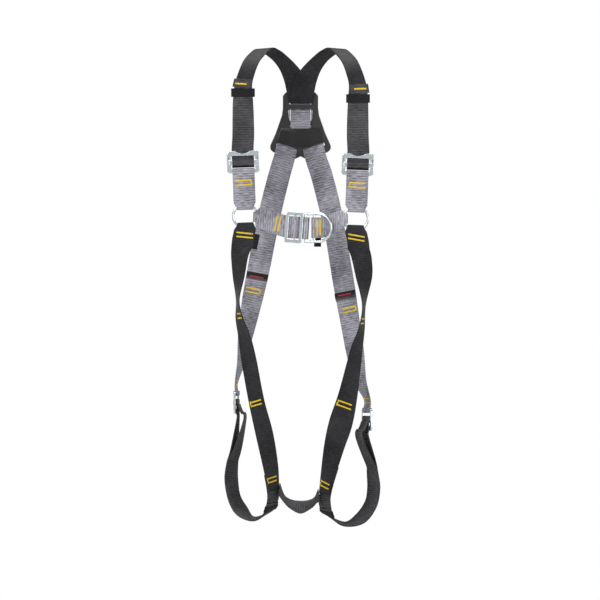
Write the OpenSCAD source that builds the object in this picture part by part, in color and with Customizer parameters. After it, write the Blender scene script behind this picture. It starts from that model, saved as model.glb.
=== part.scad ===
// Full body safety harness with a dorsal D-ring and a chest D-ring.
// Millimetres. X runs across the wearer, Y from front to back, Z up.
// The origin is the middle of the dorsal D-ring's eye with the ring hanging.

/* [Webbing] */
// Width of the load webbing
webbing_width = 44; // [38:0.5:48]
// Thickness of the webbing
webbing_thickness = 1.6; // [1.2:0.1:2.4]
// Width of a vertical strap where it is gathered on a side ring
gathered_width = 32; // [28:1:34]
// Width of a chest strap where it is gathered on a side ring
chest_gathered_width = 20; // [16:1:22]
// Length over which a gathered strap opens to its full width
gather_length = 14; // [12:1:40]
// Gap between two layers of webbing
layer_gap = 0.3; // [0.2:0.05:0.6]

/* [Buckles] */
// Width of a slide bar buckle
buckle_width = 65; // [60:0.5:72]
// Height of a slide bar buckle
buckle_height = 44; // [40:0.5:52]
// Thickness of the buckle plate
buckle_thickness = 4; // [3:0.25:5]
// Height of the upper cross bar
upper_bar = 10; // [8:0.5:13]
// Height of the lower cross bar
lower_bar = 7; // [5:0.5:9]
// Corner radius of the buckle
buckle_corner = 7; // [3:0.5:10]
// Depth of the dished notch in the upper bar
notch_depth = 5; // [2:0.5:7]
// Radius of the dished notch
notch_radius = 22; // [16:1:30]
// Height of the slide bar
slide_bar_height = 8; // [6:0.5:10]
// Travel of the slide bar
slide_bar_travel = 2; // [1:0.5:3]
// Length of each slide bar end held in a side rail
bar_end_length = 3.5; // [2:0.5:5]

/* [Side rings] */
// Radius of a side ring to the middle of its wire
side_ring_radius = 24; // [22:0.5:28]
// Wire diameter of a side ring
side_ring_wire = 5; // [4:0.5:6]

/* [Chest] */
// Width of the chest adjuster
adjuster_width = 35; // [30:0.5:42]
// Height of the chest adjuster
adjuster_height = 62; // [58:0.5:70]
// Width of the adjuster's bars
adjuster_bar = 6.5; // [5:0.5:8]
// Width of the adjuster's middle bar
adjuster_middle_bar = 4; // [3:0.25:5]
// Thickness of the adjuster
adjuster_thickness = 4; // [3:0.25:5]
// Height of the chest D-ring
chest_ring_height = 61; // [56:0.5:68]
// Reach of the D from its middle bar to the outside of the bow
chest_ring_reach = 39; // [34:0.5:46]
// Wire diameter of the chest D-ring
chest_ring_wire = 5.6; // [5:0.2:7]
// Distance from the middle bar to the slot bar
slot_bar_distance = 18.5; // [16:0.5:22]
// Forward lean of the chest D-ring at rest
chest_ring_lean = 20; // [18:0.5:24]

/* [Dorsal plate and ring] */
// Thickness of the dorsal plate
plate_thickness = 4; // [3:0.25:6]
// Half the width of the plate at its lower lobes
plate_half_width = 61; // [55:0.5:68]
// Height of the plate
plate_height = 134; // [124:1:146]
// Wire diameter of the dorsal D-ring
dorsal_wire = 9; // [8:0.5:11]
// Half the width of the dorsal D-ring to the middle of its wire
dorsal_half_width = 25; // [23:0.5:29]
// Straight leg of the dorsal D-ring
dorsal_leg = 32; // [26:1:38]

/* [Keepers and trim] */
// Length of an elastic keeper band along the strap
keeper_length = 17; // [12:1:24]
// Thickness of a keeper band
keeper_thickness = 1.2; // [0.8:0.1:2]
// Thickness of a fall indicator pleat
indicator_thickness = 3; // [2:0.25:5]

/* [Hidden] */
$fn = 40;
clearance = 0.3;
half_web = webbing_thickness / 2;
layer = webbing_thickness + layer_gap;

// Heights and depths of the main pieces before the shift to the origin.
middle_x = 1;
front_y = -85;
plate_y = 70;
plate_top = 866.8;
crossbar_z = 838;
dorsal_bar_y = 80;
dorsal_eye_z = crossbar_z - (dorsal_leg + dorsal_half_width) / 2;
eye = [middle_x, dorsal_bar_y, dorsal_eye_z];

// Poses are [origin, turn about Y, turn about Z].
left_front = [[-109.2, front_y, 617], -2.2, 0];
right_front = [[111.2, front_y, 612], 2.2, 0];
buckle_rise = 108;
left_leg = [[-127, -10, 245], 180, -97];
right_leg = [[134, -10, 211], 180, 107];

// The layers behind a buckle, measured from the middle of its plate.
tail_depth = buckle_thickness / 2 + clearance + half_web;
strap_depth = tail_depth + layer;

// Height on a buckle where a tail meets its turn round the slide bar.
turn_join = 3;

// Window of a buckle and the slot its bar slides in.
window_width = webbing_width + 3;
window_low = -buckle_height / 2 + lower_bar;
window_high = buckle_height / 2 - upper_bar;
slot_low = -6;
slot_high = slot_low + slide_bar_height + slide_bar_travel + 2 * clearance;

// Inner half gap of a webbing loop round a ring.
loop_inner = side_ring_wire / 2 + 0.4;

// Room between a bar and the round end of a loop, for the bar's square corners.
corner_room = 1.3;

// Turns a local point of a pose into a point of the harness.
function spun(p, ty, tz) =
  let (q = [p[0] * cos(ty) + p[2] * sin(ty), p[1], p[2] * cos(ty) - p[0] * sin(ty)])
  [q[0] * cos(tz) - q[1] * sin(tz), q[0] * sin(tz) + q[1] * cos(tz), q[2]];
function at(pose, p) = pose[0] + spun(p, pose[1], pose[2]);

// A station is [edge A x, edge A z, edge B x, edge B z, depth, turn].
// Turn 1 sets edge B behind edge A until the strap has its full width.
function pair_station(a, b) =
  let (run = norm([b[0] - a[0], b[2] - a[2]]))
  let (deep = sqrt(max(webbing_width * webbing_width - run * run, 0.0001)))
  [a[0], a[2], b[0], b[2], (a[1] + b[1]) / 2, (b[1] - a[1]) / deep];
function pose_station(pose, half, depth, z) =
  pair_station(at(pose, [-half, depth, z]), at(pose, [half, depth, z]));

// Smooth curve through the stations.
function blend(p0, p1, p2, p3, t) =
  0.5 * (2 * p1 + (p2 - p0) * t + (2 * p0 - 5 * p1 + 4 * p2 - p3) * t * t
  + (3 * p1 - p0 - 3 * p2 + p3) * t * t * t);
function station(list, u) =
  let (last = len(list) - 1, i = min(floor(u), last - 1))
  blend(list[max(i - 1, 0)], list[i], list[i + 1], list[min(i + 2, last)], u - i);
// Closed smooth curve through a list of points.
function ring_blend(list, u) =
  let (n = len(list), i = floor(u))
  blend(list[(i + n - 1) % n], list[i % n], list[(i + 1) % n], list[(i + 2) % n], u - i);
function edges(list, u) =
  let (s = station(list, u), run = norm([s[2] - s[0], s[3] - s[1]]))
  let (deep = s[5] * sqrt(max(webbing_width * webbing_width - run * run, 0)) / 2)
  [[s[0], s[4] - deep, s[1]], [s[2], s[4] + deep, s[3]]];

// Corner points of one cross section of a sheet of webbing.
function unit(v) = v / norm(v);
function middle(pair) = (pair[0] + pair[1]) / 2;
function heading(pairs, i, closed) =
  let (n = len(pairs))
  closed ? middle(pairs[(i + 1) % n]) - middle(pairs[(i + n - 1) % n])
  : middle(pairs[min(i + 1, n - 1)]) - middle(pairs[max(i - 1, 0)]);
function section(pairs, i, thick, lift, closed) =
  let (a = pairs[i][0], b = pairs[i][1], n = unit(cross(heading(pairs, i, closed), b - a)))
  [a + n * (lift + thick / 2), b + n * (lift + thick / 2),
   b + n * (lift - thick / 2), a + n * (lift - thick / 2)];

// A sheet of webbing through pairs of edge points. Both faces fold along the same diagonals.
module sheet(pairs, thick, lift, closed) {
  n = len(pairs);
  points = [for (i = [0:n - 1]) each section(pairs, i, thick, lift, closed)];
  spans = closed ? n : n - 1;
  sides = [for (i = [0:spans - 1], k = [0:3], h = [0:1])
    let (j = (i + 1) % n, m = (k + 1) % 4)
    let (p = 4 * i + k, q = 4 * i + m, r = 4 * j + m, s = 4 * j + k)
    k == 2 ? (h == 0 ? [p, q, s] : [q, r, s]) : (h == 0 ? [p, q, r] : [p, r, s])];
  last = 4 * (n - 1);
  caps = closed ? [] : [[3, 2, 1], [3, 1, 0], [last, last + 1, last + 2], [last, last + 2, last + 3]];
  polyhedron(points, concat(sides, caps));
}

// Part of a strap between two places on its curve, lifted off its middle surface.
// All ribbons on one curve are cut at the same places, so their layers stay parallel.
cuts = 5;
module ribbon(list, from, to, thick = webbing_thickness, lift = 0, start = 0, end = 1) {
  steps = round((to - from) * cuts);
  pairs = [for (i = [0:steps])
    let (e = edges(list, from + (to - from) * i / steps), across = e[1] - e[0])
    [e[0] + across * start, e[0] + across * end]];
  sheet(pairs, thick, lift, false);
}

// A closed loop of webbing along local Z, gathered at its near end.
// Towards its far end it can lie flatter and further back.
function ease(t) = let (c = min(max(t, 0), 1)) c * c * (3 - 2 * c);
tuck_share = 0.8;
function loop_pair(y, z, near, level, narrow, wide, shift) =
  let (half = (narrow + (wide - narrow) * ease((z - near) / gather_length)) / 2)
  let (side = shift * ease((z - near) / (level - near)))
  [[side - half, y, z], [side + half, y, z]];
module loop(near, far, narrow, shift, gap, wide = webbing_width, level = 0, far_gap = undef, tuck = 0) {
  r0 = gap + half_web;
  r1 = is_undef(far_gap) ? r0 : far_gap + half_web;
  z0 = near + gap;
  z1 = far - r1 + half_web;
  ends = 8;
  rises = 7;
  part = [for (i = [1:rises]) i / (rises + 1)];
  path = concat(
    [for (i = [0:ends]) [r0 * cos(180 + 180 * i / ends), z0 + r0 * sin(180 + 180 * i / ends)]],
    [for (t = part) [r0 + (r1 - r0 + tuck) * ease(t / tuck_share), z0 + (z1 - z0) * t]],
    [for (i = [0:ends]) [tuck + r1 * cos(180 * i / ends), z1 + r1 * sin(180 * i / ends)]],
    [for (t = part) [(r0 - r1 + tuck) * ease((1 - t) / tuck_share) - r0, z1 - (z1 - z0) * t]]);
  pairs = [for (p = path) loop_pair(p[0], p[1], near, far - level, narrow, wide, shift)];
  sheet(pairs, webbing_thickness, 0, true);
}

// Outline points of a rounded rectangle between two corners.
function corner(x, y, r, start) =
  [for (i = [0:6]) [x + r * cos(start + 15 * i), y + r * sin(start + 15 * i)]];
function rounded(low, high, r) = concat(
  corner(high[0] - r, high[1] - r, r, 0), corner(low[0] + r, high[1] - r, r, 90),
  corner(low[0] + r, low[1] + r, r, 180), corner(high[0] - r, low[1] + r, r, 270));

// A band with a rounded rectangular hole, thick all round and long along Z.
module band(low, high, r, thick, long) {
  translate([0, 0, -long / 2])
  linear_extrude(long)
  difference() {
    polygon(rounded(low - [thick, thick], high + [thick, thick], r + thick));
    polygon(rounded(low, high, r));
  }
}

// A band lying along X, drawn in the Y and Z plane.
module cross_band(low, high, r, thick, long) {
  rotate([90, 0, 90])
  band(low, high, r, thick, long);
}

module posed(pose) {
  translate(pose[0])
  rotate([0, pose[1], pose[2]])
  children();
}

// Moves the harness so that the eye of the hanging dorsal D-ring is the origin.
module place(shade) {
  color(shade)
  translate(-eye)
  children();
}

// Slide bar buckle, flat in local X and Z.
module buckle() {
  rotate([90, 0, 0])
  translate([0, 0, -buckle_thickness / 2])
  linear_extrude(buckle_thickness)
  difference() {
    polygon(rounded([-buckle_width, -buckle_height] / 2, [buckle_width, buckle_height] / 2, buckle_corner));
    polygon(rounded([-window_width / 2, window_low], [window_width / 2, window_high], 2));
    slot = window_width / 2 + bar_end_length + clearance;
    polygon(rounded([-slot, slot_low], [slot, slot_high], 1));
    translate([0, buckle_height / 2 + notch_radius - notch_depth])
    circle(r = notch_radius, $fn = 72);
  }
}

// Slide bar at the low or the high end of its slot.
module slide_bar(rest) {
  low = slot_low + clearance + rest * slide_bar_travel;
  long = window_width + 2 * bar_end_length;
  half = buckle_thickness / 2;
  rotate([90, 0, 90])
  translate([0, 0, -long / 2])
  linear_extrude(long)
  polygon(rounded([-half, low], [half, low + slide_bar_height], 1.4));
}

// Webbing turn round the slide bar, with room for the bar's travel.
module bar_turn() {
  half = buckle_thickness / 2 + clearance - 0.05;
  cross_band([-half, slot_low], [half, slot_high], 1.5, webbing_thickness + 0.1, webbing_width - 1);
}

// Curve of the left shoulder strap from the buckle over the shoulder to the plate.
strap_start = 11.2;
strap_level = 26;
left_shoulder_line = concat([
  pose_station(left_front, webbing_width / 2, strap_depth, buckle_rise - strap_start),
  pose_station(left_front, webbing_width / 2, strap_depth, buckle_rise + turn_join),
  pose_station(left_front, webbing_width / 2, strap_depth, buckle_rise + strap_level)], [
  [-134.8, 778, -91.2, 778, -80, 0],
  [-134.4, 818, -92, 818, -80, 0],
  [-133.6, 850, -93.6, 850, -80, 0],
  [-130, 880, -95.2, 878, -78.8, 0],
  [-122.8, 904, -90.4, 900, -70, 0],
  [-113, 927, -82, 923, -50, 0],
  [-101, 942, -70, 940, -25, 0],
  [-87, 951.6, -56, 954, 0, 0],
  [-72, 944, -41, 950, 32, 0],
  [-54, 930, -26, 939, 54, 0],
  [-40.8, 912, -9, 923, 64.5, 0],
  [-32, 890, 5, 906, 66.8, 0],
  [-27, 868, 16, 886, 66.8, 0],
  [-22, 845.2, 22, 854, 66.8, 0]]);

// The right strap mirrors the left one and lies in front of it at the plate.
function across(s) = [2 * middle_x - s[2], s[3], 2 * middle_x - s[0], s[1],
  s[4] - layer * ease((s[4] - 40) / 25), -s[5]];
right_shoulder_line = concat([
  pose_station(right_front, webbing_width / 2, strap_depth, buckle_rise - strap_start),
  pose_station(right_front, webbing_width / 2, strap_depth, buckle_rise + turn_join),
  pose_station(right_front, webbing_width / 2, strap_depth, buckle_rise + strap_level)],
  [for (i = [3:len(left_shoulder_line) - 1]) across(left_shoulder_line[i])]);
shoulder_end = len(left_shoulder_line) - 1;

// Curves of the back straps from the plate to the leg buckles.
back_join = buckle_height / 2 + clearance + half_web;
back_lead = 18;
left_back_line = concat([
  [-47.2, 760, -6, 748.4, 66.8, 0],
  [-53.6, 736, -12.4, 724, 66.8, 0],
  [-62.8, 706, -20.8, 693.2, 68.6, 0],
  [-78, 648, -35.2, 634, 71.5, 0],
  [-92.8, 582.8, -48, 574, 70, 0],
  [-106.4, 508, -62.8, 500, 62, 1],
  [-117.2, 442.8, -79, 434, 46, 1],
  [-123.6, 380, -96, 372, 24, 1],
  [-125.2, 330, -109, 326, 6, 1]],
  [pose_station(left_leg, webbing_width / 2, 0, -back_join - back_lead),
   pose_station(left_leg, webbing_width / 2, 0, -back_join)]);
right_back_line = concat([
  [6.4, 748.4, 47.6, 760, 66.8, 0],
  [12.8, 724, 54, 736, 66.8, 0],
  [22.8, 693.2, 64.4, 706, 68.6, 0],
  [38, 634, 80, 646, 71.5, 0],
  [51, 576, 92, 582.8, 70, 0],
  [66.8, 480, 108.4, 488, 60.4, -1],
  [82, 400, 119.6, 408, 44, -1],
  [94, 338, 128, 346, 24, -1],
  [107, 288, 132, 292, 7, -1]],
  [pose_station(right_leg, webbing_width / 2, 0, -back_join - back_lead),
   pose_station(right_leg, webbing_width / 2, 0, -back_join)]);
back_end = len(left_back_line) - 1;

// Curves of the thigh straps and leg loops from the side rings to the leg buckles.
thigh_near = 14;
thigh_far = 44;
thigh_join = 60;
thigh_shift = 8;
function thigh_station(pose, shift) =
  pose_station([at(pose, [shift, 0, 0]), pose[1], pose[2]], webbing_width / 2, 0, -thigh_join);
leg_lead = [34, 22, turn_join];
function leg_finish(pose) =
  [for (z = leg_lead) pose_station(pose, webbing_width / 2, tail_depth, z)];
left_leg_line = concat(
  [thigh_station(left_front, -thigh_shift)], [
  [-137.2, 538, -102.8, 538, -83, -1],
  [-133.6, 496, -110.8, 496, -80, -1],
  [-127.2, 450, -120.8, 450, -76, -1],
  [-128.2, 414, -114, 416, -74, -1],
  [-123.4, 380, -100, 382, -72, -1],
  [-117.2, 331.2, -87.4, 334, -68, -0.7],
  [-103.2, 250, -71.4, 252, -56, 0],
  [-89, 183.2, -54, 186, -40, 0.6],
  [-74.6, 120, -44.2, 122, -18, 1],
  [-65.2, 74, -42, 76, 4, 1],
  [-64, 48, -42, 50, 14, 1],
  [-73.2, 19.2, -54.8, 28, 30, 1],
  [-95.2, 7.2, -91.2, 12.8, 48, 1],
  [-125.2, 18, -108, 34, 56, 1],
  [-142.8, 46, -121.6, 58, 52, 1],
  [-150.8, 88, -126, 90, 42, 1],
  [-147.2, 122, -126, 118, 26, 1],
  [-139.2, 150, -124, 146, 12, 1]],
  leg_finish(left_leg));
right_leg_line = concat(
  [thigh_station(right_front, thigh_shift)], [
  [102.4, 534, 142.8, 534, -83, 1],
  [111.2, 496, 143.6, 496, -80, 1],
  [124, 440, 130.8, 440, -76, 1],
  [116.8, 394, 128.8, 394, -74, 1],
  [103.2, 360, 125.4, 358, -72, 1],
  [93.6, 326, 121.6, 322, -68, 0.7],
  [76, 262, 114.4, 256, -56, 0],
  [58.4, 210, 104, 198, -42, -0.6],
  [48, 158, 86, 146, -24, -1],
  [39.2, 74, 62, 70, 2, -1],
  [37.2, 38, 60, 38, 14, -1],
  [51.2, 20, 69.2, 9.2, 30, -1],
  [89.2, 2.8, 92.8, -3.6, 48, -1],
  [114, 18.8, 128.8, 3.2, 56, -1],
  [132, 44.8, 152.8, 34, 52, -1],
  [136.8, 72, 160.4, 72, 42, -1],
  [136, 102, 156.4, 104, 28, -1],
  [134.8, 128, 151.2, 130, 14, -1]],
  leg_finish(right_leg));
leg_end = len(left_leg_line) - 1;
thigh_end = 10.2;
loop_start = 9.4;
tail_start = 11.2;

// Curve of the seat strap between the two leg loops.
seat_line = [
  [-40.4, 84, -42.8, 60, 14, -0.6],
  [-31.2, 59.2, -34, 48, 19, -0.8],
  [-17.2, 50, -21.2, 34, 21, -0.7],
  [1.2, 47.6, 0.8, 22.8, 22, -0.6],
  [18.4, 49.2, 22.4, 33.2, 21, -0.7],
  [29.6, 55.6, 32.8, 43.6, 19, -0.8],
  [36.4, 71.6, 40, 47.6, 14, -0.6]];

// Places of the chest pieces.
adjuster_pose = [[-12, front_y, 594.5], 4, 0];
chest_ring_pose = [[28, front_y, 594], 0, -chest_ring_lean];
chest_near = 17.4;
strap_tip = -5.4;
ring_strap_width = webbing_width - 3;
ring_strap_level = 16;
chest_ring_gap = chest_ring_wire / 2 + 0.4;

// Plate outline, half of it, from the top down.
lobe = plate_half_width;
foot = plate_top - plate_height;
half_plate = [[29.5, plate_top], [35.4, plate_top - 7], [35.4, plate_top - 32], [37.2, plate_top - 46],
  [49.7, plate_top - 82], [lobe - 0.6, plate_top - 106], [lobe, plate_top - 110], [lobe - 1, plate_top - 115],
  [lobe - 6, plate_top - 120], [13.3, foot], [9, foot + 1], [0, foot + 5.4]];
plate_outline = concat([for (p = half_plate) [middle_x + p[0], p[1]]],
  [for (i = [len(half_plate) - 1:-1:0]) [middle_x - half_plate[i][0], half_plate[i][1]]]);
slot_shape = [[7, 112], [47, 100], [49, 106], [9, 118]];
window_drop = 28;
loop_bar = 9.5;
loop_slot = 9;

module dorsal_plate() {
  place("#1c1c1e")
  translate([0, plate_y + plate_thickness / 2, 0])
  rotate([90, 0, 0])
  linear_extrude(plate_thickness)
  difference() {
    polygon(plate_outline);
    translate([middle_x, crossbar_z])
    polygon(rounded([-23, dorsal_wire / 2], [23, 16], 3));
    translate([middle_x, crossbar_z])
    polygon(rounded([-24, -window_drop], [24, -dorsal_wire / 2], 4));
    translate([middle_x, crossbar_z - window_drop - loop_bar])
    polygon(rounded([-21.5, -loop_slot], [21.5, 0], 1.5));
    for (side = [-1, 1])
      polygon([for (p = slot_shape) [middle_x + side * p[0], plate_top - p[1]]]);
  }
}

module dorsal_d_ring() {
  r = dorsal_wire / 2;
  place("#c9ccd0")
  translate([middle_x, dorsal_bar_y, crossbar_z])
  union() {
    rotate([0, 90, 0])
    cylinder(r = r, h = 2 * dorsal_half_width, center = true);
    for (side = [-1, 1]) {
      translate([side * dorsal_half_width, 0, 0])
      sphere(r = r);
      translate([side * dorsal_half_width, 0, -dorsal_leg])
      cylinder(r = r, h = dorsal_leg);
    }
    translate([0, 0, -dorsal_leg])
    rotate([90, 0, 0])
    rotate([0, 0, 180])
    rotate_extrude(angle = 180, $fn = 60)
    translate([dorsal_half_width, 0])
    circle(r = r, $fn = 28);
  }
}

// Webbing from the ring's bar down behind the window, round the plate's bar below it.
// Depth from the ring's bar and height from the cross bar.
dorsal_path = [[-5.7, 0], [-4, 4.1], [0, 5.7], [4, 4.1], [5.7, 0], [4, -4.1], [0, -5.8], [-3.6, -6.8],
  [-5.7, -8.8], [-6.4, -14], [-6.5, -24], [-6.6, -34], [-7.3, -39], [-10, -41.7], [-12.7, -39], [-13.2, -34],
  [-13.2, -29], [-12.4, -25], [-10.6, -20], [-9.4, -14], [-7.5, -6.6], [-6.3, -3.4]];
module dorsal_loop() {
  half = dorsal_half_width - dorsal_wire / 2 - 0.5;
  path = [for (u = [0:0.5:len(dorsal_path) - 0.5]) ring_blend(dorsal_path, u)];
  place("#8e8f98")
  translate([middle_x, dorsal_bar_y, crossbar_z])
  sheet([for (p = path) [[-half, p[0], p[1]], [half, p[0], p[1]]]], webbing_thickness, 0, true);
}

module shoulder_strap(line) {
  place("#202022")
  ribbon(line, 0, shoulder_end);
}

module left_shoulder_strap() {
  shoulder_strap(left_shoulder_line);
}

module right_shoulder_strap() {
  shoulder_strap(right_shoulder_line);
}

// The tail lies on the strap, turns round the slide bar and has a folded end.
tail_from = 1;
fold_length = 0.6;
fold_over = 0.02;
fold_sink = 0.05;
module shoulder_tail(line, pose, fold) {
  place("#3c3d40")
  union() {
    ribbon(line, tail_from, fold + fold_length, webbing_thickness, -layer);
    ribbon(line, fold, fold + fold_length + fold_over, 2 * webbing_thickness,
      -layer - half_web - fold_sink, 0.02, 0.98);
    posed(pose)
    translate([0, 0, buckle_rise])
    bar_turn();
  }
}

module left_shoulder_tail() {
  shoulder_tail(left_shoulder_line, left_front, 5.8);
}

module right_shoulder_tail() {
  shoulder_tail(right_shoulder_line, right_front, 5.4);
}

// Elastic band round the strap and its tail.
left_keeper_z = 863;
right_keeper_z = 851.4;
keeper_x = -113.6;
keeper_y = front_y + strap_depth;
module keeper_band() {
  half = webbing_width / 2 + 0.5;
  front = -layer - half_web - 0.4;
  back = half_web + 1;
  band([-half, front], [half, back], 0.4, keeper_thickness, keeper_length);
}

module left_tail_keeper() {
  place("#232325")
  translate([keeper_x, keeper_y, left_keeper_z])
  keeper_band();
}

module right_tail_keeper() {
  place("#232325")
  translate([2 * middle_x - keeper_x, keeper_y, right_keeper_z])
  keeper_band();
}

module left_shoulder_buckle() {
  place("#c9ccd0")
  posed(left_front)
  translate([0, 0, buckle_rise])
  buckle();
}

module right_shoulder_buckle() {
  place("#c9ccd0")
  posed(right_front)
  translate([0, 0, buckle_rise])
  buckle();
}

module left_shoulder_bar() {
  place("#b4b7bb")
  posed(left_front)
  translate([0, 0, buckle_rise])
  slide_bar(0);
}

module right_shoulder_bar() {
  place("#b4b7bb")
  posed(right_front)
  translate([0, 0, buckle_rise])
  slide_bar(0);
}

// Loop from the side ring to the lower bar of the shoulder buckle.
module front_loop(pose) {
  place("#8e8f98")
  posed(pose)
  loop(thigh_near, buckle_rise + window_low + corner_room, gathered_width, 0, loop_inner);
}

module left_front_loop() {
  front_loop(left_front);
}

module right_front_loop() {
  front_loop(right_front);
}

module side_ring(pose) {
  place("#c9ccd0")
  translate(pose[0])
  rotate([90, 0, 0])
  rotate_extrude($fn = 72)
  translate([side_ring_radius, 0])
  circle(d = side_ring_wire, $fn = 20);
}

module left_side_ring() {
  side_ring(left_front);
}

module right_side_ring() {
  side_ring(right_front);
}

// The left chest strap ends flat behind the near bar of the adjuster.
module left_chest_strap() {
  ring = left_front[0];
  lean = 90 + adjuster_pose[1];
  tip = at(adjuster_pose, [strap_tip, 0, 0]) - ring;
  far_gap = layer_gap / 2;
  tuck = adjuster_thickness / 2 + clearance + webbing_thickness + far_gap;
  place("#8e8f98")
  posed([ring, lean, 0])
  loop(chest_near, tip * spun([0, 0, 1], lean, 0), chest_gathered_width, tip * spun([1, 0, 0], lean, 0),
    loop_inner, far_gap = far_gap, tuck = tuck);
}

// The right chest strap goes round the middle bar of the D-ring.
module right_chest_strap() {
  ring = right_front[0];
  bar = chest_ring_pose[0] - [chest_ring_wire / 2, 0, 0] - ring;
  place("#8e8f98")
  posed([ring, -90, 0])
  loop(chest_near, bar * spun([0, 0, 1], -90, 0) + corner_room, chest_gathered_width,
    bar * spun([1, 0, 0], -90, 0), chest_ring_gap, ring_strap_width, ring_strap_level);
}

module chest_adjuster() {
  size = [adjuster_width, adjuster_height] / 2;
  hole = size - [adjuster_bar, adjuster_bar];
  half_bar = adjuster_middle_bar / 2;
  middle = 1;
  place("#c9ccd0")
  posed(adjuster_pose)
  rotate([90, 0, 0])
  translate([0, 0, -adjuster_thickness / 2])
  linear_extrude(adjuster_thickness)
  difference() {
    polygon(rounded(-size, size, 5));
    polygon(rounded(-hole, [middle - half_bar, hole[1]], 1.5));
    polygon(rounded([middle + half_bar, -hole[1]], hole, 1.5));
  }
}

// Roll of webbing from the adjuster's middle bar, behind its right bar, round the slot bar.
link_path = [[17.2, 7.5], [14.5, 2.6], [9, 2.3], [5, 3.5], [-1, 3.5], [-4, 2.2], [-5.9, -0.8],
  [-8.5, -3.2], [-13.5, -3.2], [-16, -1.4], [-16.3, 0.8], [-14.5, 3.4], [-9, 4.1], [-2, 5.6],
  [3, 8], [7, 11.8], [11, 13.6], [15.6, 12]];
module chest_link() {
  half = webbing_width / 2;
  path = [for (u = [0:0.5:len(link_path) - 0.5]) ring_blend(link_path, u)];
  place("#8e8f98")
  translate([0, front_y, chest_ring_pose[0][2]])
  rotate([0, adjuster_pose[1], 0])
  sheet([for (p = path) [[p[0], p[1], -half], [p[0], p[1], half]]], webbing_thickness, 0, true);
}

module chest_d_ring() {
  r = chest_ring_wire / 2;
  half = chest_ring_height / 2 - r;
  bow = chest_ring_reach - half - r;
  place("#c9ccd0")
  posed(chest_ring_pose)
  union() {
    cylinder(r = r, h = 2 * half, center = true);
    translate([-slot_bar_distance, 0, 0])
    cylinder(r = r, h = 2 * half, center = true);
    for (side = [-1, 1]) {
      translate([-slot_bar_distance, 0, side * half])
      rotate([0, 90, 0])
      cylinder(r = r, h = slot_bar_distance + bow);
      translate([-slot_bar_distance, 0, side * half])
      sphere(r = r);
    }
    translate([bow, 0, 0])
    rotate([90, 0, 0])
    rotate([0, 0, -90])
    rotate_extrude(angle = 180, $fn = 60)
    translate([half, 0])
    circle(r = r, $fn = 24);
  }
}

// Folded end of the chest webbing, hanging behind the right chest strap.
chest_tail_corner = [28, 556];
chest_tail_size = [14, 40];
module chest_tail() {
  place("#2a2a2c")
  translate([chest_tail_corner[0], front_y + chest_ring_gap + layer, chest_tail_corner[1]])
  cube([chest_tail_size[0], webbing_thickness, chest_tail_size[1]]);
}

// Grey back strap with its turn on the leg buckle.
module back_strap(line, pose) {
  half = buckle_thickness / 2 + clearance;
  place("#8e8f98")
  union() {
    ribbon(line, 0, back_end);
    posed(pose)
    cross_band([-half, -buckle_height / 2 - clearance], [half, window_low + clearance],
      0.9, webbing_thickness, webbing_width - 1);
  }
}

module left_back_strap() {
  back_strap(left_back_line, left_leg);
}

module right_back_strap() {
  back_strap(right_back_line, right_leg);
}

// Sewn pleat that opens after a fall.
module fall_indicator(line, from, to) {
  place("#2c2b2e")
  ribbon(line, from, to, indicator_thickness, half_web + 2 * clearance + indicator_thickness / 2);
}

module left_fall_indicator() {
  fall_indicator(left_back_line, 5, 5.2);
}

module right_fall_indicator() {
  fall_indicator(right_back_line, 5.2, 5.4);
}

module label_tab() {
  place("#19191a")
  ribbon(left_back_line, 4, 4.4, 1.2, half_web + clearance + 0.6, -0.02, 0.26);
}

// Black thigh strap. Its end goes up behind, over the side ring and down in front.
function thigh_pair(pose, shift, y, z) =
  let (open = ease((-z - thigh_near) / gather_length))
  let (half = (gathered_width + (webbing_width - gathered_width) * open) / 2)
  let (side = shift * ease((-z - thigh_near) / (thigh_join - thigh_near)))
  [at(pose, [side - half, y, z]), at(pose, [side + half, y, z])];
function thigh_turn(pose, shift) =
  let (r = loop_inner + half_web, c = thigh_near + loop_inner, drop = thigh_far - c)
  concat([for (i = [0:5]) thigh_pair(pose, shift, r, -thigh_far + drop * i / 6)],
    [for (i = [0:8]) thigh_pair(pose, shift, r * cos(22.5 * i), r * sin(22.5 * i) - c)],
    [for (i = [1:6]) thigh_pair(pose, shift, -r, -c - drop * i / 6)]);
module thigh_strap(line, pose, shift) {
  place("#202022")
  sheet(concat(thigh_turn(pose, shift), [for (i = [0:thigh_end * cuts]) edges(line, i / cuts)]),
    webbing_thickness, 0, false);
}

module left_thigh_strap() {
  thigh_strap(left_leg_line, left_front, -thigh_shift);
}

module right_thigh_strap() {
  thigh_strap(right_leg_line, right_front, thigh_shift);
}

// Leg loop, inside its tail, standing off from it below the buckle.
bulge_from = 17.4;
bulge_rise = 12;
function bulge(u) =
  let (t = min(max((u - bulge_from) / (leg_end - bulge_from), 0), 1))
  bulge_rise * pow(4 * t * (1 - t), 2);
function bulged(line, u) =
  let (e = edges(line, u))
  let (run = middle(edges(line, min(u + 0.1, leg_end))) - middle(edges(line, u - 0.1)))
  let (off = unit(cross(run, e[1] - e[0])) * bulge(u))
  [e[0] - off, e[1] - off];
module leg_loop(line) {
  steps = round((leg_end - loop_start) * cuts);
  place("#3c3d40")
  sheet([for (i = [0:steps]) bulged(line, loop_start + i / cuts)], webbing_thickness, -layer, false);
}

module left_leg_loop() {
  leg_loop(left_leg_line);
}

module right_leg_loop() {
  leg_loop(right_leg_line);
}

// Tail of the leg loop, outside it, with its turn round the slide bar.
module leg_tail(line, pose) {
  place("#3c3d40")
  union() {
    ribbon(line, tail_start, leg_end);
    posed(pose)
    bar_turn();
  }
}

module left_leg_tail() {
  leg_tail(left_leg_line, left_leg);
}

module right_leg_tail() {
  leg_tail(right_leg_line, right_leg);
}

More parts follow.
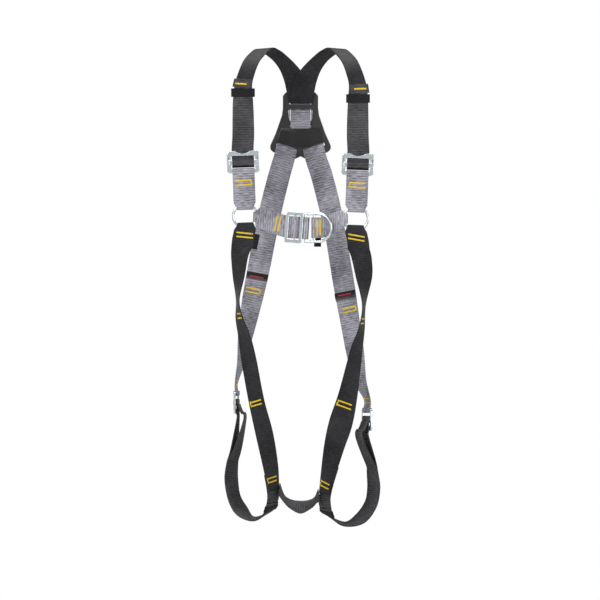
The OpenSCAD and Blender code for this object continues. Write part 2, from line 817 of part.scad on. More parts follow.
// Band round the leg loop and its tail.
keeper_from = 11.4;
keeper_to = 11.8;
module leg_keeper(line) {
  inside = 2 * webbing_thickness + layer_gap + 0.6;
  place("#232325")
  difference() {
    ribbon(line, keeper_from, keeper_to, inside + 2 * keeper_thickness, -layer / 2, -0.04, 1.04);
    ribbon(line, keeper_from - 0.2, keeper_to + 0.2, inside, -layer / 2, -0.01, 1.01);
  }
}

module left_leg_keeper() {
  leg_keeper(left_leg_line);
}

module right_leg_keeper() {
  leg_keeper(right_leg_line);
}

module left_leg_buckle() {
  place("#c9ccd0")
  posed(left_leg)
  buckle();
}

module right_leg_buckle() {
  place("#c9ccd0")
  posed(right_leg)
  buckle();
}

module left_leg_bar() {
  place("#b4b7bb")
  posed(left_leg)
  slide_bar(1);
}

module right_leg_bar() {
  place("#b4b7bb")
  posed(right_leg)
  slide_bar(1);
}

module seat_strap() {
  place("#3c3d40")
  ribbon(seat_line, 0, len(seat_line) - 1);
}

dorsal_plate();
dorsal_d_ring();
dorsal_loop();
left_shoulder_strap();
right_shoulder_strap();
left_shoulder_tail();
right_shoulder_tail();
left_tail_keeper();
right_tail_keeper();
left_shoulder_buckle();
right_shoulder_buckle();
left_shoulder_bar();
right_shoulder_bar();
left_front_loop();
right_front_loop();
left_side_ring();
right_side_ring();
left_chest_strap();
right_chest_strap();
chest_adjuster();
chest_link();
chest_d_ring();
chest_tail();
left_back_strap();
right_back_strap();
left_fall_indicator();
right_fall_indicator();
label_tab();
left_thigh_strap();
right_thigh_strap();
left_leg_loop();
right_leg_loop();
left_leg_tail();
right_leg_tail();
left_leg_keeper();
right_leg_keeper();
left_leg_buckle();
right_leg_buckle();
left_leg_bar();
right_leg_bar();
seat_strap();
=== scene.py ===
import math

import bpy
from mathutils import Matrix, Vector


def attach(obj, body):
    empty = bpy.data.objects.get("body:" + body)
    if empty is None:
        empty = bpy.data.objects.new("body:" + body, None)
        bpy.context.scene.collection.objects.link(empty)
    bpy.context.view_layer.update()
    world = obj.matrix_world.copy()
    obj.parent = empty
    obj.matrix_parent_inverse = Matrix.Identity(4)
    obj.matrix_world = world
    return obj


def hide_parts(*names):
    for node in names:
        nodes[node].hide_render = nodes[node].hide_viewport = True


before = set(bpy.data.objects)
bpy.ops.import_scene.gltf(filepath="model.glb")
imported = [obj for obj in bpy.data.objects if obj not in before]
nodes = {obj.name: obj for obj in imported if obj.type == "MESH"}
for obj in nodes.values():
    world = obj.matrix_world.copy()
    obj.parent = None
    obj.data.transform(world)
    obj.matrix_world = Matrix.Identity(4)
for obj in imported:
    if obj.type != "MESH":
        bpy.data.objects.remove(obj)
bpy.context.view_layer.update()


# Dorsal plate: the moulded black plate between the shoulder blades that holds
# the crossing straps and the ring. It comes out of its tool matte, with a fine
# spark grain and edges that are rounded over and a little rubbed.
class Tone:
    """A socket in a material's tree. Sums on it add Math nodes."""

    def __init__(self, tree, socket=None):
        self.tree = tree
        self.socket = socket

    def node(self, kind, settings, links, output=0):
        """Adds a node, sets it up, then gives its sockets their values or links."""
        made = self.tree.nodes.new(kind)
        for setting, value in settings.items():
            setattr(made, setting, value)
        for socket, value in links.items():
            if isinstance(value, Tone):
                self.tree.links.new(value.socket, made.inputs[socket])
            else:
                made.inputs[socket].default_value = value
        return Tone(self.tree, made.outputs[output])

    def sum(self, operation, first, second=0.0):
        return self.node("ShaderNodeMath", {"operation": operation}, {0: first, 1: second})

    def __add__(self, other):
        return self.sum("ADD", self, other)

    def __radd__(self, other):
        return self.sum("ADD", other, self)

    def __sub__(self, other):
        return self.sum("SUBTRACT", self, other)

    def __rsub__(self, other):
        return self.sum("SUBTRACT", other, self)

    def __mul__(self, other):
        return self.sum("MULTIPLY", self, other)

    def __rmul__(self, other):
        return self.sum("MULTIPLY", other, self)

    def wave(self, pitch):
        """0 to 1 and back over each pitch, in metres."""
        return self.sum("SINE", self * (2 * math.pi / pitch)) * 0.5 + 0.5

    def place(self, kind):
        """Where a point lies, as Object, UV or Generated counts it."""
        return self.node("ShaderNodeTexCoord", {}, {}, kind)

    def axes(self):
        """The three numbers of a place, each as a socket of its own."""
        split = self.node("ShaderNodeSeparateXYZ", {}, {0: self}).socket.node
        return [Tone(self.tree, out) for out in split.outputs]

    def noise(self, place, scale, detail):
        links = {"Vector": place, "Scale": scale, "Detail": detail}
        return self.node("ShaderNodeTexNoise", {}, links)

    def blend(self, factor, low, high):
        """A colour between two. A Mix node takes colours at sockets 6 and 7, gives one at 2."""
        low, high = [c if isinstance(c, Tone) else (*c, 1) for c in (low, high)]
        return self.node("ShaderNodeMix", {"data_type": "RGBA"}, {0: factor, 6: low, 7: high}, 2)

    def feed(self, shader, socket):
        self.tree.links.new(self.socket, shader.inputs[socket])

    def raise_on(self, shader, strength, distance):
        """Takes this socket as the height of a fine relief, distance in metres."""
        links = {"Strength": strength, "Distance": distance, "Height": self}
        self.node("ShaderNodeBump", {}, links).feed(shader, "Normal")


def new_finish(name):
    finish = bpy.data.materials.new(name)
    finish.use_nodes = True
    return finish, Tone(finish.node_tree), finish.node_tree.nodes["Principled BSDF"]


def dress(node, finish, round_edge):
    """Gives a CAD node its finish, with its sharp edges rounded over."""
    piece = nodes[node]
    piece.data.materials.clear()
    piece.data.materials.append(finish)
    if round_edge:
        weld = piece.modifiers.new("weld", "WELD")
        weld.merge_threshold = 0.00001
        rounded = piece.modifiers.new("round", "BEVEL")
        rounded.width = round_edge
        rounded.segments = 3
        rounded.limit_method = "ANGLE"
        rounded.angle_limit = math.radians(50)


PLATE_EDGE = 0.0009
plate_black, tone, shader = new_finish("plate_black")
place = tone.place("Object")
grain = tone.noise(place, scale=2600.0, detail=3.0)
cloud = tone.noise(place, scale=38.0, detail=4.0)
shade = tone.blend(cloud, (0.018, 0.018, 0.019), (0.034, 0.033, 0.036))
shade.feed(shader, "Base Color")
(cloud * 0.16 + 0.42).feed(shader, "Roughness")
grain.raise_on(shader, strength=0.25, distance=0.0002)
dress("dorsal_plate", plate_black, PLATE_EDGE)


# Forged and pressed steel: both D-rings, the side rings, the buckles, their slide
# bars and the chest adjuster. Zinc plate leaves a bright, slightly milky silver
# with faint tumbling marks and small darker worn spots.
STEEL_EDGE = 0.0011
zinc_silver, tone, shader = new_finish("zinc_silver")
place = tone.place("Object")
cloud = tone.noise(place, scale=90.0, detail=5.0)
marks = tone.noise(place, scale=900.0, detail=2.0)
shade = tone.blend(cloud, (0.62, 0.68, 0.71), (0.84, 0.89, 0.92))
shade.feed(shader, "Base Color")
(marks * 0.14 + cloud * 0.12 + 0.16).feed(shader, "Roughness")
shader.inputs["Metallic"].default_value = 1.0
marks.raise_on(shader, strength=0.12, distance=0.0002)
for node in ("dorsal_d_ring", "chest_d_ring", "left_side_ring", "right_side_ring"):
    dress(node, zinc_silver, 0)
dress("chest_adjuster", zinc_silver, STEEL_EDGE)
for side in ("left", "right"):
    for node in ("_shoulder_buckle", "_shoulder_bar", "_leg_buckle", "_leg_bar"):
        dress(side + node, zinc_silver, STEEL_EDGE)


# Shoulder straps: black polyester load webbing from the buckles over the shoulders
# to the plate, where they cross. The webbing is woven flat, 44 mm wide and 1.6 mm
# thick, with fine ribs across it and a rounder, tighter selvedge.
EYE = Vector((1, 80, 809.5))
WIDTH = 44.0
THICK = 1.6
LAYER = 1.9  # from the middle of one layer to the middle of the next
SELVEDGE = 0.00045
AIM = 0.05  # how far along a strap its direction is looked for


def spot(x, y, z):
    """A point in millimetres before the shift to the ring's eye, in the row frame."""
    return (Vector((x, y, z)) - EYE) / 1000


def pose_at(pose, x, y, z):
    """A point in a pose's own axes. A pose is an origin and its turns about Y and Z."""
    origin, turn_y, turn_z = pose
    about_y = Matrix.Rotation(math.radians(turn_y), 3, "Y")
    about_z = Matrix.Rotation(math.radians(turn_z), 3, "Z")
    return Vector(origin) + about_z @ about_y @ Vector((x, y, z))


def pose_station(pose, y, z):
    """A strap station that lies across a pose: both edges, the depth and the turn."""
    a = pose_at(pose, -WIDTH / 2, y, z)
    b = pose_at(pose, WIDTH / 2, y, z)
    run = math.hypot(b.x - a.x, b.z - a.z)
    deep = math.sqrt(max(WIDTH * WIDTH - run * run, 0.0001))
    return [a.x, a.z, b.x, b.z, (a.y + b.y) / 2, (b.y - a.y) / deep]


def ease(t):
    """0 to 1 with a soft start and end."""
    t = min(max(t, 0.0), 1.0)
    return t * t * (3 - 2 * t)


def smooth(four, t):
    """Numbers on the smooth curve from the second of four rows to the third."""
    return [0.5 * (2 * p1 + (p2 - p0) * t + (2 * p0 - 5 * p1 + 4 * p2 - p3) * t * t
                   + (3 * p1 - p0 - 3 * p2 + p3) * t ** 3) for p0, p1, p2, p3 in zip(*four)]


def edge_pair(line, u):
    """Both edges of a strap at a place on its curve, in millimetres."""
    last = len(line) - 1
    i = min(int(u), last - 1)
    four = [line[max(i - 1, 0)], line[i], line[i + 1], line[min(i + 2, last)]]
    x0, z0, x1, z1, y, turn = smooth(four, u - i)
    run = math.hypot(x1 - x0, z1 - z0)
    deep = turn * math.sqrt(max(WIDTH * WIDTH - run * run, 0)) / 2
    return Vector((x0, y - deep, z0)), Vector((x1, y + deep, z1))


def strap_rows(line, start=0, end=None, lift=0.0, near=0.0, far=1.0, per_unit=12):
    """Rows of edge points along part of a strap, lifted off its middle."""
    last = len(line) - 1
    end = last if end is None else end
    count = max(round((end - start) * per_unit), 2)
    rows = []
    for k in range(count + 1):
        u = start + (end - start) * k / count
        a, b = edge_pair(line, u)
        before = sum(edge_pair(line, max(u - AIM, 0)), Vector())
        after = sum(edge_pair(line, min(u + AIM, last)), Vector())
        off = (after - before).cross(b - a).normalized() * (lift(u) if callable(lift) else lift)
        rows.append((a + (b - a) * near + off, a + (b - a) * far + off))
    return rows


def weave_band(name, rows, closed=False, thick=THICK, threads=8):
    """A flat band of webbing through rows of edge points, with its UV in metres."""
    rows = [(spot(*a), spot(*b)) for a, b in rows]
    if closed:
        rows.append(rows[0])
    last = len(rows) - 1
    bpy.ops.object.select_all(action="DESELECT")
    bpy.ops.mesh.primitive_grid_add(x_subdivisions=threads, y_subdivisions=last, size=1.0)
    band = bpy.context.object
    band.name = name
    mesh = band.data
    lengths = [0.0]
    for (a, b), (c, d) in zip(rows, rows[1:]):
        lengths.append(lengths[-1] + ((c + d) / 2 - (a + b) / 2).length)
    cell = {}
    for v in mesh.vertices:
        row = round((v.co.y + 0.5) * last)
        share = v.co.x + 0.5
        a, b = rows[row]
        cell[v.index] = (lengths[row], share * (b - a).length)
        v.co = a.lerp(b, share)
    for corner in mesh.loops:
        mesh.uv_layers[0].data[corner.index].uv = cell[corner.vertex_index]
    if closed:
        bpy.ops.object.mode_set(mode="EDIT")
        bpy.ops.mesh.select_all(action="SELECT")
        bpy.ops.mesh.remove_doubles(threshold=0.000001)
        bpy.ops.object.mode_set(mode="OBJECT")
    wall = band.modifiers.new("wall", "SOLIDIFY")
    wall.thickness = thick / 1000
    wall.offset = 0
    wall.use_even_offset = False
    soft = band.modifiers.new("soft", "BEVEL")
    soft.width = SELVEDGE
    soft.segments = 2
    soft.limit_method = "ANGLE"
    soft.angle_limit = math.radians(60)
    for step in ("wall", "soft"):
        bpy.ops.object.modifier_apply(modifier=step)
    bpy.ops.object.mode_set(mode="EDIT")
    bpy.ops.mesh.select_all(action="SELECT")
    bpy.ops.mesh.normals_make_consistent(inside=False)
    bpy.ops.object.mode_set(mode="OBJECT")
    bpy.ops.object.shade_smooth_by_angle(angle=math.radians(45))
    return band


def sew_on(piece, finish, node, body="harness"):
    """Finishes a piece of webbing and hangs it on its body in place of a CAD node."""
    piece.data.materials.clear()
    piece.data.materials.append(finish)
    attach(piece, body)
    if node:
        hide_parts(node)


def joined(first, *others):
    """One object out of several, under the first one's name."""
    bpy.ops.object.select_all(action="DESELECT")
    for piece in (first, *others):
        piece.select_set(True)
    bpy.context.view_layer.objects.active = first
    bpy.ops.object.join()
    return first


def webbing(name, dark, light, streak, rib, rough, fold=None):
    """Woven polyester. streak is how much single yarns differ, rib the pitch across, and
    fold the shade under a fold, where it starts to fade and over which length."""
    finish, tone, shader = new_finish(name)
    cloth = tone.place("UV")
    along, across, _ = cloth.axes()
    fine = tone.node("ShaderNodeMapping", {}, {"Vector": cloth, "Scale": (520.0, 95.0, 1.0)})
    yarn = tone.noise(fine, scale=1.0, detail=3.0)
    ribs = (along + (yarn - 0.5) * (0.9 * rib)).wave(rib)
    warps = (across + (yarn - 0.5) * 0.0008).wave(0.0021)
    weave = ribs * 0.65 + warps * (1 - ribs) * 0.5
    # Broad patches painted lighter and darker along the webbing: painted sheen.
    sheen_patches = tone.noise(tone.place("Object"), scale=17.0, detail=2.0)
    mixed = (yarn - 0.5) * (1.7 * streak) + weave * 0.75 + (sheen_patches - 0.5) * 1.1 + 0.12
    shade = tone.blend(mixed, dark, light)
    if fold:
        under, start, fade = fold
        shade = tone.blend((along - start) * (1 / fade), under, shade)
    shade.feed(shader, "Base Color")
    (weave * -0.12 + rough + 0.1).feed(shader, "Roughness")
    (weave * 0.7 + yarn * 0.3).raise_on(shader, strength=0.6, distance=0.0005)
    shader.inputs["Specular IOR Level"].default_value = 0.18
    return finish


FRONT = -85.0  # depth of the side rings
RISE = 108.0  # from a side ring up to its shoulder buckle
STRAP_DEPTH, TAIL_DEPTH = 5.0, 3.1
AT_BUCKLE = (-11.2, 3, 26)
left_front = ((-109.2, FRONT, 617.0), -2.2, 0.0)
right_front = ((111.2, FRONT, 612.0), 2.2, 0.0)
left_shoulder_line = [pose_station(left_front, STRAP_DEPTH, RISE + z) for z in AT_BUCKLE] + [
    [-134.8, 778, -91.2, 778, -80, 0],
    [-134.4, 818, -92, 818, -80, 0],
    [-133.6, 850, -93.6, 850, -80, 0],
    [-130, 880, -95.2, 878, -78.8, 0],
    [-122.8, 904, -90.4, 900, -70, 0],
    [-113, 927, -82, 923, -50, 0],
    [-101, 942, -70, 940, -25, 0],
    [-87, 951.6, -56, 954, 0, 0],
    [-72, 944, -41, 950, 32, 0],
    [-54, 930, -26, 939, 54, 0],
    [-40.8, 912, -9, 923, 64.5, 0],
    [-32, 890, 5, 906, 66.8, 0],
    [-27, 868, 16, 886, 66.8, 0],
    [-22, 845.2, 22, 854, 66.8, 0]]
MIDDLE = 1  # the plane between left and right
CROSS_FROM, CROSS_RUN = 40, 25


def mirrored(station):
    """A left station on the right. Near the plate the right strap lies on the left one."""
    x0, z0, x1, z1, y, turn = station
    over = LAYER * ease((y - CROSS_FROM) / CROSS_RUN)
    return [2 * MIDDLE - x1, z1, 2 * MIDDLE - x0, z0, y - over, -turn]


right_shoulder_line = [pose_station(right_front, STRAP_DEPTH, RISE + z) for z in AT_BUCKLE]
right_shoulder_line += [mirrored(s) for s in left_shoulder_line[len(AT_BUCKLE):]]
black_webbing = webbing("black_webbing", (0.004, 0.004, 0.005), (0.042, 0.042, 0.046),
                        streak=0.7, rib=0.0036, rough=0.5)
INTO_PLATE = ((0.55, 0.7), (0.9, 2.6), (1.0, 5.0), (1.0, 8.0))  # share up to the sill, depth
for side, line, sill in (("left", left_shoulder_line, 847.0),
                         ("right", right_shoulder_line, 844.4)):
    rows = strap_rows(line)
    end = rows[-1]
    for share, back in INTO_PLATE:
        rows.append([Vector((p.x, p.y + back, p.z + (sill - p.z) * share)) for p in end])
    strap = weave_band(side + "_shoulder_webbing", rows)
    sew_on(strap, black_webbing, side + "_shoulder_strap")


# Shoulder tails: the free ends of the same straps, in charcoal ribbed webbing. Each
# comes round the slide bar, goes up in front of its strap and ends in a fold that
# is sewn down, so that it can't slip back through the buckle.
def bar_path(y_low, y_high, z_low, z_high, r):
    """A rounded rectangle round a bar, in the local Y and Z of a buckle."""
    corners = ((y_high - r, z_high - r, 0), (y_low + r, z_high - r, 90),
               (y_low + r, z_low + r, 180), (y_high - r, z_low + r, 270))
    path = []
    for y, z, start in corners:
        for degrees in range(start, start + 91, 15):
            angle = math.radians(degrees)
            path.append((y + r * math.cos(angle), z + r * math.sin(angle)))
    return path


def row_across(pose, y, z, half, shift=0.0):
    """A row of two edge points across a pose, shift to the side of its middle."""
    return pose_at(pose, shift - half, y, z), pose_at(pose, shift + half, y, z)


SLOT_LOW, SLOT_HIGH = -6.0, 4.6
SLOT_ROUND = 2.3
TURN_HALF = 21.5


def slot_turn(pose, level):
    """Webbing once round a slide bar, with room for the bar's slide."""
    low, high = level + SLOT_LOW - THICK / 2, level + SLOT_HIGH + THICK / 2
    path = bar_path(-TAIL_DEPTH, TAIL_DEPTH, low, high, SLOT_ROUND)
    return [row_across(pose, y, z, TURN_HALF) for y, z in path]


FOLD_RUN, FOLD_LIFT, FOLD_THICK = 0.6, 1.4, 2.4
dark_webbing = webbing("dark_webbing", (0.012, 0.012, 0.013), (0.105, 0.105, 0.113),
                       streak=0.7, rib=0.0048, rough=0.6)
for side, line, pose, fold_from, inner, outer in (
        ("left", left_shoulder_line, left_front, 5.8, -0.1, 0.98),
        ("right", right_shoulder_line, right_front, 5.4, 0.02, 1.1)):
    fold_to = fold_from + FOLD_RUN
    tail = weave_band(side + "_tail_webbing", strap_rows(line, 1, fold_to, -LAYER))
    rows = strap_rows(line, fold_from, fold_to, -LAYER - FOLD_LIFT, inner, outer)
    fold = weave_band(side + "_tail_fold", rows, thick=FOLD_THICK)
    turn = weave_band(side + "_tail_turn", slot_turn(pose, RISE), closed=True)
    sew_on(joined(tail, fold, turn), dark_webbing, side + "_shoulder_tail")


# Panel of the dorsal plate: the darker field between the ring's bar and the slots of
# the back straps, a thin sheet pressed on the face of the moulding, with a soft sheen.
panel_black, tone, shader = new_finish("panel_black")
cloud = tone.noise(tone.place("Object"), scale=26.0, detail=2.0)
shade = tone.blend(cloud, (0.003, 0.003, 0.003), (0.022, 0.022, 0.023))
shade.feed(shader, "Base Color")
(cloud * 0.1 + 0.36).feed(shader, "Roughness")
PANEL_DEPTH, PANEL_THICK = 67.5, 0.7
panel_edges = [(-46, 769.5, 768.4), (-38, 795, 765.5), (-7, 795, 756.2),
               (9, 795, 756.2), (40, 795, 765.5), (48, 769.5, 768.4)]
rows = [((x, PANEL_DEPTH, high), (x, PANEL_DEPTH, low)) for x, high, low in panel_edges]
panel = weave_band("plate_panel", rows, thick=PANEL_THICK, threads=4)
sew_on(panel, panel_black, None)


# Keepers: short loops of woven black elastic that hold each tail against its strap.
# They slide along the straight part of the strap by hand.
KEEPER_DEPTH, KEEPER_FRONT, KEEPER_BACK = -80, -3.7, 2.4
KEEPER_HALF, KEEPER_ROUND, KEEPER_RISE, KEEPER_THICK = 23.1, 1.0, 8.5, 1.2
trim_black = webbing("trim_black", (0.005, 0.005, 0.006), (0.022, 0.022, 0.024),
                     streak=0.4, rib=0.0012, rough=0.7)
path = bar_path(KEEPER_FRONT, KEEPER_BACK, -KEEPER_HALF, KEEPER_HALF, KEEPER_ROUND)
for side, x_mid, z_mid in (("left", -113.6, 863), ("right", 115.6, 851.4)):
    rows = [((x_mid + x, KEEPER_DEPTH + y, z_mid - KEEPER_RISE),
             (x_mid + x, KEEPER_DEPTH + y, z_mid + KEEPER_RISE)) for y, x in path]
    keeper = weave_band(side + "_keeper_elastic", rows, closed=True, thick=KEEPER_THICK)
    sew_on(keeper, trim_black, side + "_tail_keeper", side + "_keeper")


# Front loops: light grey webbing from the lower bar of each shoulder buckle down
# round the side ring and back, gathered a little where it goes through the ring
# and sewn through both layers.
RING_NEAR, RING_GAP = 14.0, 2.9  # where a loop starts, and half the room inside its turn
GATHERED, GATHER_RUN = 32.0, 14  # the width in a ring, and the length back to full width
BUCKLE_BELOW = 13.7
TUCK_SHARE = 0.8
ARC_STEPS, RUN_STEPS = 14, 16
half_circle = [math.pi * i / ARC_STEPS for i in range(ARC_STEPS + 1)]


def gathered_half(narrow, wide, past_ring):
    """Half the width of webbing that widens again past a ring."""
    return (narrow + (wide - narrow) * ease(past_ring / GATHER_RUN)) / 2


def loop_rows(pose, near, far, narrow, shift, gap, wide=WIDTH, level=0.0, far_gap=None, tuck=0.0):
    """A closed loop along local Z, which can lie flatter and further back at its far end."""
    far_gap = gap if far_gap is None else far_gap
    r0, r1 = gap + THICK / 2, far_gap + THICK / 2
    low, high = near + gap, far - far_gap
    part = [i / RUN_STEPS for i in range(1, RUN_STEPS)]
    path = [(-r0 * math.cos(a), low - r0 * math.sin(a)) for a in half_circle]
    path += [(r0 + (r1 - r0 + tuck) * ease(t / TUCK_SHARE), low + (high - low) * t)
             for t in part]
    path += [(tuck + r1 * math.cos(a), high + r1 * math.sin(a)) for a in half_circle]
    path += [((r0 - r1 + tuck) * ease(t / TUCK_SHARE) - r0, low + (high - low) * t)
             for t in reversed(part)]
    return [row_across(pose, y, z, gathered_half(narrow, wide, z - near),
                       shift * ease((z - near) / (far - level - near))) for y, z in path]


grey_webbing = webbing("grey_webbing", (0.070, 0.070, 0.085), (0.50, 0.49, 0.55),
                       streak=0.9, rib=0.0048, rough=0.6)
for side, pose in (("left", left_front), ("right", right_front)):
    rows = loop_rows(pose, RING_NEAR, RISE - BUCKLE_BELOW, GATHERED, 0, RING_GAP)
    front_loop = weave_band(side + "_front_webbing", rows, closed=True)
    sew_on(front_loop, grey_webbing, side + "_front_loop")


# Chest straps: grey webbing looped on the side rings. The left one ends flat behind the
# adjuster's near bar, the right one goes round the middle bar of the chest ring, and a
# roll of the same webbing joins the adjuster to the ring's slot bar.
def reach_to(pose, target):
    """How far a point lies along a pose's Z and along its X."""
    origin, lean, _ = pose
    turn = Matrix.Rotation(math.radians(lean), 3, "Y")
    gap = Vector(target) - Vector(origin)
    return gap.dot(turn @ Vector((0, 0, 1))), gap.dot(turn @ Vector((1, 0, 0)))


CHEST_NEAR, CHEST_GATHERED = 17.4, 20.0
LEFT_TUCK, LEFT_FAR_GAP, LEFT_TIP = 4.05, 0.15, -5.4
ADJUSTER_LEAN = 4
left_chest = (left_front[0], 94, 0)
left_tip = pose_at(((-12, FRONT, 594.5), ADJUSTER_LEAN, 0), LEFT_TIP, 0, 0)
left_far, shift = reach_to(left_chest, left_tip)
rows = loop_rows(left_chest, CHEST_NEAR, left_far, CHEST_GATHERED, shift, RING_GAP,
                 far_gap=LEFT_FAR_GAP, tuck=LEFT_TUCK)
strap = weave_band("left_chest_webbing", rows, closed=True)
sew_on(strap, grey_webbing, "left_chest_strap")

RIGHT_GAP, RIGHT_PAST, RIGHT_WIDTH, RIGHT_LEVEL = 3.2, 1.3, WIDTH - 3, 16
right_chest = (right_front[0], -90, 0)
middle_bar = (25.2, FRONT, 594.0)
right_far, shift = reach_to(right_chest, middle_bar)
rows = loop_rows(right_chest, CHEST_NEAR, right_far + RIGHT_PAST, CHEST_GATHERED, shift, RIGHT_GAP,
                 RIGHT_WIDTH, RIGHT_LEVEL)
strap = weave_band("right_chest_webbing", rows, closed=True)
sew_on(strap, grey_webbing, "right_chest_strap")


def closed_curve(points, steps=4):
    """Points on a closed smooth curve through the given ones."""
    made = []
    for i in range(len(points) * steps):
        four = [points[(i // steps + j) % len(points)] for j in (-1, 0, 1, 2)]
        made.append(smooth(four, i % steps / steps))
    return made


roll = [(17.2, 7.5), (14.5, 2.6), (9, 2.3), (5, 3.5), (-1, 3.5), (-4, 2.2), (-5.9, -0.8),
        (-8.5, -3.2), (-13.5, -3.2), (-16, -1.4), (-16.3, 0.8), (-14.5, 3.4), (-9, 4.1),
        (-2, 5.6), (3, 8), (7, 11.8), (11, 13.6), (15.6, 12)]
link_pose = ((0, FRONT, 594.0), ADJUSTER_LEAN, 0)
rows = [(pose_at(link_pose, x, y, -WIDTH / 2), pose_at(link_pose, x, y, WIDTH / 2))
        for x, y in closed_curve(roll)]
link = weave_band("chest_roll", rows, closed=True)
sew_on(link, grey_webbing, "chest_link")

SEAM = 0.3  # between one sewn layer and the next
TAIL_LEFT, TAIL_RIGHT, TAIL_TOP, TAIL_STEP = 28, 42, 596, 4
tail_y = FRONT + RIGHT_GAP + THICK + SEAM + THICK / 2
rows = [((TAIL_LEFT, tail_y, TAIL_TOP - TAIL_STEP * i),
         (TAIL_RIGHT, tail_y, TAIL_TOP - TAIL_STEP * i)) for i in range(11)]
tail = weave_band("chest_tail_webbing", rows)
sew_on(tail, trim_black, "chest_tail")


# Dorsal loop: a turn of grey webbing from the straight bar of the dorsal ring down
# behind the plate's window and round the bar below it, which lets the ring swing.
DORSAL_HALF, RING_BAR_Y, RING_BAR_Z = 20, 80, 838
dorsal_path = [(-5.7, 0), (-4, 4.1), (0, 5.7), (4, 4.1), (5.7, 0), (4, -4.1), (0, -5.8),
               (-3.6, -6.8), (-5.7, -8.8), (-6.4, -14), (-6.5, -24), (-6.6, -34), (-7.3, -39),
               (-10, -41.7), (-12.7, -39), (-13.2, -34), (-13.2, -29), (-12.4, -25),
               (-10.6, -20), (-9.4, -14), (-7.5, -6.6), (-6.3, -3.4)]
rows = [((MIDDLE - DORSAL_HALF, RING_BAR_Y + y, RING_BAR_Z + z),
         (MIDDLE + DORSAL_HALF, RING_BAR_Y + y, RING_BAR_Z + z))
        for y, z in closed_curve(dorsal_path)]
dorsal_turn = weave_band("dorsal_turn", rows, closed=True)
sew_on(dorsal_turn, grey_webbing, "dorsal_loop")


# Back straps: grey webbing from the plate down the back to the leg buckles. Each is
# folded once into a sewn pleat that tears open in a fall, marked with red thread, and
# the left one carries a small black label tab.
left_leg = ((-127.0, -10.0, 245.0), 180.0, -97.0)
right_leg = ((134.0, -10.0, 211.0), 180.0, 107.0)
left_back_line = [
    [-47.2, 760, -6, 748.4, 66.8, 0],
    [-53.6, 736, -12.4, 724, 66.8, 0],
    [-62.8, 706, -20.8, 693.2, 68.6, 0],
    [-78, 648, -35.2, 634, 71.5, 0],
    [-92.8, 582.8, -48, 574, 70, 0],
    [-106.4, 508, -62.8, 500, 62, 1],
    [-117.2, 442.8, -79, 434, 46, 1],
    [-123.6, 380, -96, 372, 24, 1],
    [-125.2, 330, -109, 326, 6, 1]]
right_back_line = [
    [6.4, 748.4, 47.6, 760, 66.8, 0],
    [12.8, 724, 54, 736, 66.8, 0],
    [22.8, 693.2, 64.4, 706, 68.6, 0],
    [38, 634, 80, 646, 71.5, 0],
    [51, 576, 92, 582.8, 70, 0],
    [66.8, 480, 108.4, 488, 60.4, -1],
    [82, 400, 119.6, 408, 44, -1],
    [94, 338, 128, 346, 24, -1],
    [107, 288, 132, 292, 7, -1]]
LEG_BAR_TOP, LEG_BAR_LOW, LEG_BAR_ROUND = -23.1, -13.9, 1.7
AT_LEG_BAR = (-41.1, LEG_BAR_TOP)
left_back_line += [pose_station(left_leg, 0, z) for z in AT_LEG_BAR]
right_back_line += [pose_station(right_leg, 0, z) for z in AT_LEG_BAR]
# Steps back and up from a back strap's first row, through the plate's slot.
THROUGH_PLATE = ((8.6, 15.0), (8.4, 9.0), (7.4, 5.2), (4.6, 4.0), (2.0, 3.2), (0.5, 1.8))
UNDER_LIFT, UNDER_THICK = 1.9, 1.0  # the lower fold of a pleat
OVER_LIFT, OVER_THICK, OVER_TOP, OVER_LOW = 3.3, 1.5, 0.02, 0.05  # the upper one, set in
PLEAT_STEPS = 40
# The pleats are painted a darker grey than the back straps, and near black at their top fading
# down into it: painted shade in and under the fold.
FADE_FROM, FADE_RUN = 0.006, 0.016
shaded_pleat_webbing = webbing("shaded_pleat_webbing", (0.05, 0.048, 0.058), (0.33, 0.32, 0.36),
                        streak=0.9, rib=0.0048, rough=0.6,
                        fold=((0.014, 0.014, 0.016), FADE_FROM, FADE_RUN))
for side, line, pose, top, low in (("left", left_back_line, left_leg, 5, 5.2),
                                   ("right", right_back_line, right_leg, 5.2, 5.4)):
    rows = strap_rows(line)
    rows = [[p + Vector((0, back, up)) for p in rows[0]] for back, up in THROUGH_PLATE] + rows
    strap = weave_band(side + "_back_webbing", rows)
    path = bar_path(-TAIL_DEPTH, TAIL_DEPTH, LEG_BAR_TOP, LEG_BAR_LOW, LEG_BAR_ROUND)
    rows = [row_across(pose, y, z, TURN_HALF) for y, z in path]
    turn = weave_band(side + "_back_turn", rows, closed=True)
    sew_on(joined(strap, turn), grey_webbing, side + "_back_strap")
    rows = strap_rows(line, top, low, UNDER_LIFT, per_unit=PLEAT_STEPS)
    under = weave_band(side + "_pleat", rows, thick=UNDER_THICK)
    rows = strap_rows(line, top + OVER_TOP, low - OVER_LOW, OVER_LIFT, per_unit=PLEAT_STEPS)
    over = weave_band(side + "_pleat_top", rows, thick=OVER_THICK)
    sew_on(joined(under, over), shaded_pleat_webbing, side + "_fall_indicator")
LABEL_LIFT, LABEL_THICK = 1.7, 1.2
rows = strap_rows(left_back_line, 4, 4.4, LABEL_LIFT, near=-0.02, far=0.26, per_unit=20)
label = weave_band("label_tab_cloth", rows, thick=LABEL_THICK, threads=4)
sew_on(label, trim_black, "label_tab")


# Thigh straps: black webbing from the side rings, crossing in front of the back
# straps at the hip and down to the crotch. The end goes up behind the ring, over
# it and down in front, where it is sewn to itself.
THIGH_SHIFT, THIGH_RUN, THIGH_SEWN, SEWN_STEPS = 8.0, 60, 44, 10
THIGH_END = 10.2  # the place on a leg's line where its thigh strap ends


def thigh_start(pose, shift):
    """The station where a thigh strap leaves its turn, to the side of the ring's middle."""
    return pose_station((pose_at(pose, shift, 0, 0), *pose[1:]), 0, -THIGH_RUN)


